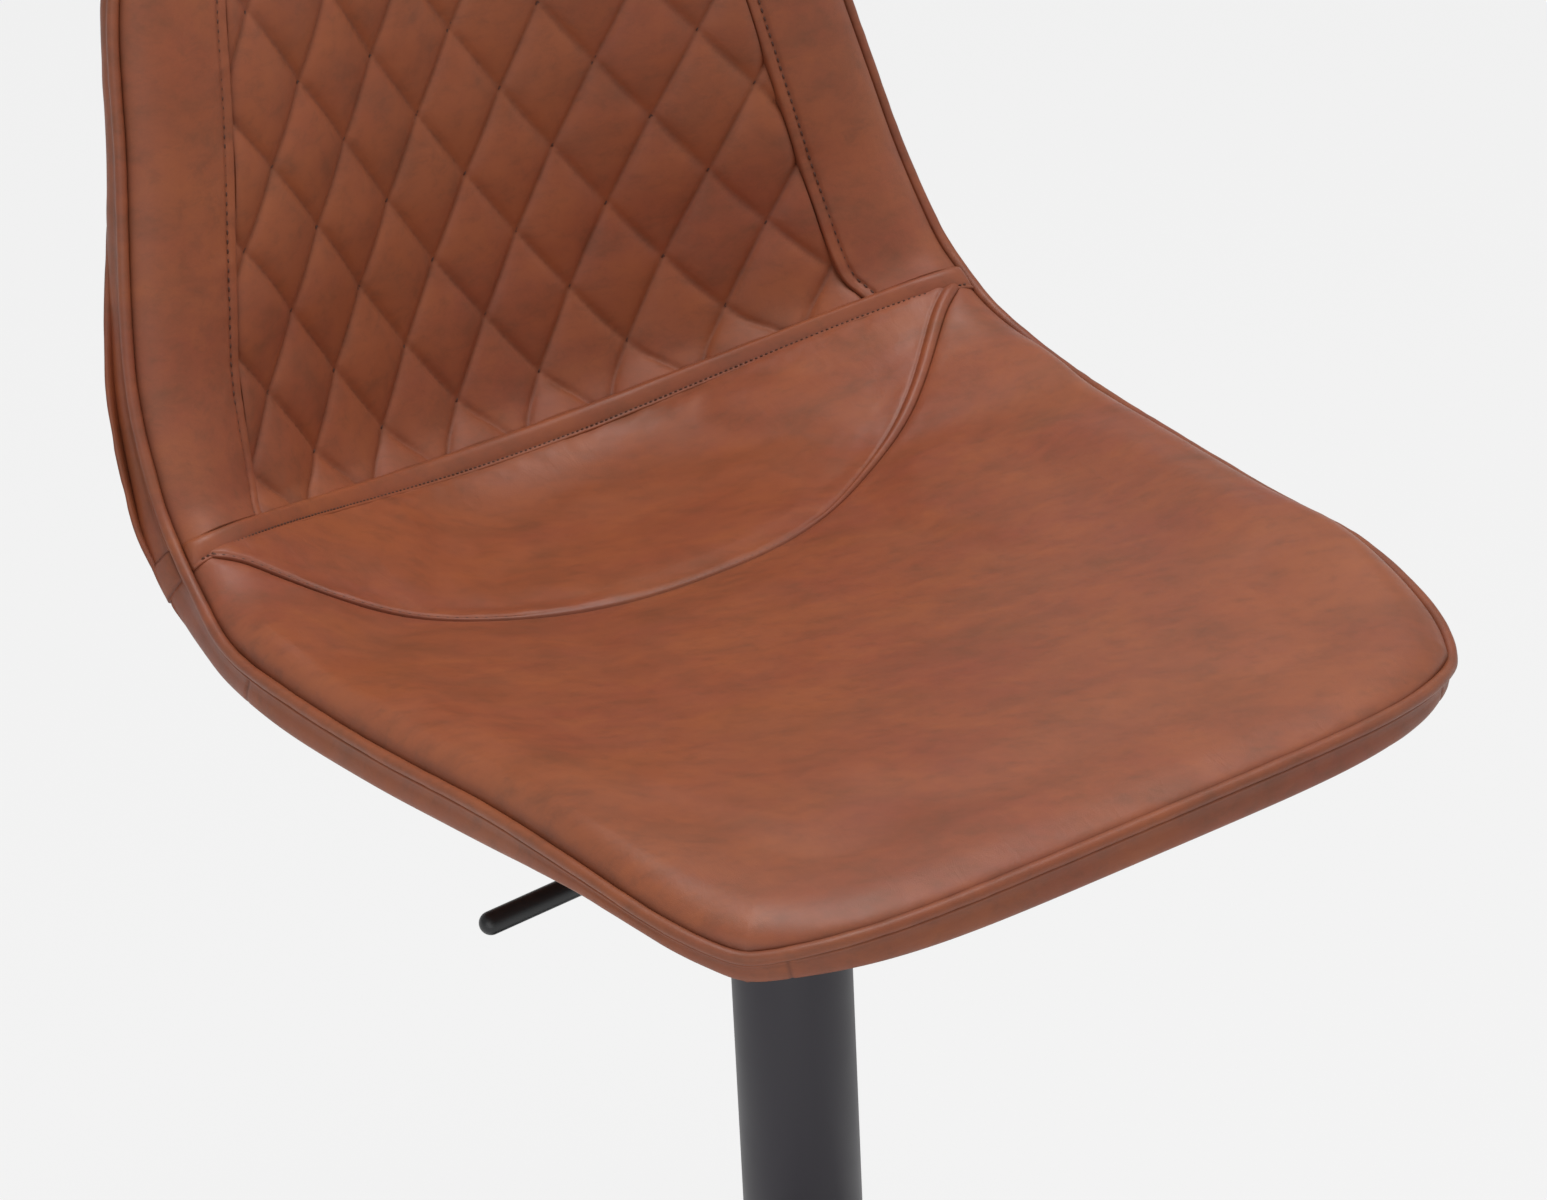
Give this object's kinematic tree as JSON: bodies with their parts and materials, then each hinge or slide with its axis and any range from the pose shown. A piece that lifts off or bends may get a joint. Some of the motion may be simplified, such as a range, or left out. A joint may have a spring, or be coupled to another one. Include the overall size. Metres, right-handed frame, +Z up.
{
  "type": "swivel counter stool",
  "caption": "Swivel counter stool with a quilted leather bucket seat on a black gas lift column, a round weighted base and a footrest loop.",
  "frame": {"origin": "on the floor, on the column's axis", "axes": "+Z up along the column, the seat faces -Y, and +X is the side away from the lever"},
  "size_m": [0.476, 0.6043, 1.017],
  "materials": {
    "leather": "mottled tan leather with a soft sheen",
    "piping_leather": "tan leather over a round cord",
    "foam": "open upholstery foam",
    "plywood": "moulded plywood",
    "black_powder_coat": "matte black powder coat",
    "zinc_steel": "zinc plated",
    "ground_steel": "ground and polished",
    "aluminium": "turned",
    "black_plastic": "matte black",
    "bearing_plastic": "natural nylon",
    "rubber": "matte black",
    "ballast_iron": "rough cast"
  },
  "bodies": {
    "base": {"floor_pad": "rubber", "base_cover": "black_powder_coat", "ballast_plate": "ballast_iron", "column_foot": "black_powder_coat", "foot_bolts": "zinc_steel", "base_collar": "black_plastic", "column_tube": "black_powder_coat", "guide_bushing": "bearing_plastic", "footrest_sleeve": "black_powder_coat", "footrest_loop": "black_powder_coat", "footrest_screws": "zinc_steel", "lower_race": "ground_steel", "bearing_cage": "bearing_plastic", "bearing_balls": "ground_steel"},
    "rod": {"upper_race": "ground_steel", "rod_clip": "zinc_steel", "bump_stop": "rubber", "piston_rod": "ground_steel", "piston": "aluminium", "piston_seal": "rubber"},
    "seat": {"pressure_tube": "black_powder_coat", "rod_guide": "aluminium", "rod_seal": "rubber", "valve_body": "aluminium", "valve_seal": "rubber", "cover_tube": "black_powder_coat", "cover_ring": "black_plastic", "cover_cap": "black_plastic", "taper_socket": "black_powder_coat", "lever_box": "black_powder_coat", "seat_plate": "black_powder_coat", "pivot_pin": "zinc_steel", "seat_screws": "zinc_steel", "tee_nuts": "zinc_steel", "seat_shell": "plywood", "seat_foam": "foam", "back_foam": "foam", "under_cover": "leather", "back_cover": "leather", "seat_panel": "leather", "hip_panel": "leather", "strap": "leather", "strap_tabs": "leather", "quilted_panel": "leather", "bolster_left": "leather", "bolster_right": "leather", "piping": "piping_leather", "seat_boxing": "leather", "back_boxing": "leather"},
    "lever": {"lever_rod": "black_powder_coat", "lever_sleeve": "black_plastic"},
    "valve": {"valve_pin": "aluminium"}
  },
  "joints": [
    {"name": "seat_swivel", "type": "hinge", "parent": "base", "child": "rod", "pos_m": [0, 0, 0.035], "axis": [0, 0, 1], "continuous": true},
    {"name": "seat_lift", "type": "slide", "parent": "rod", "child": "seat", "axis": [0, 0, 1], "range_m": [-0.055, 0.125]},
    {"name": "lever_pivot", "type": "hinge", "parent": "seat", "child": "lever", "pos_m": [-0.03, 0, 0.555], "axis": [0, 1, 0], "range_deg": [0, 5.7], "stiffness_Nm_per_rad": 6, "springref_deg": -1.15},
    {"name": "valve_press", "type": "slide", "parent": "seat", "child": "valve", "axis": [0, 0, -1], "range_m": [0, 0.003]}
  ],
  "couplings": [
    {"joint": "valve_press", "follows": "lever_pivot", "m_per_rad": 0.03}
  ]
}
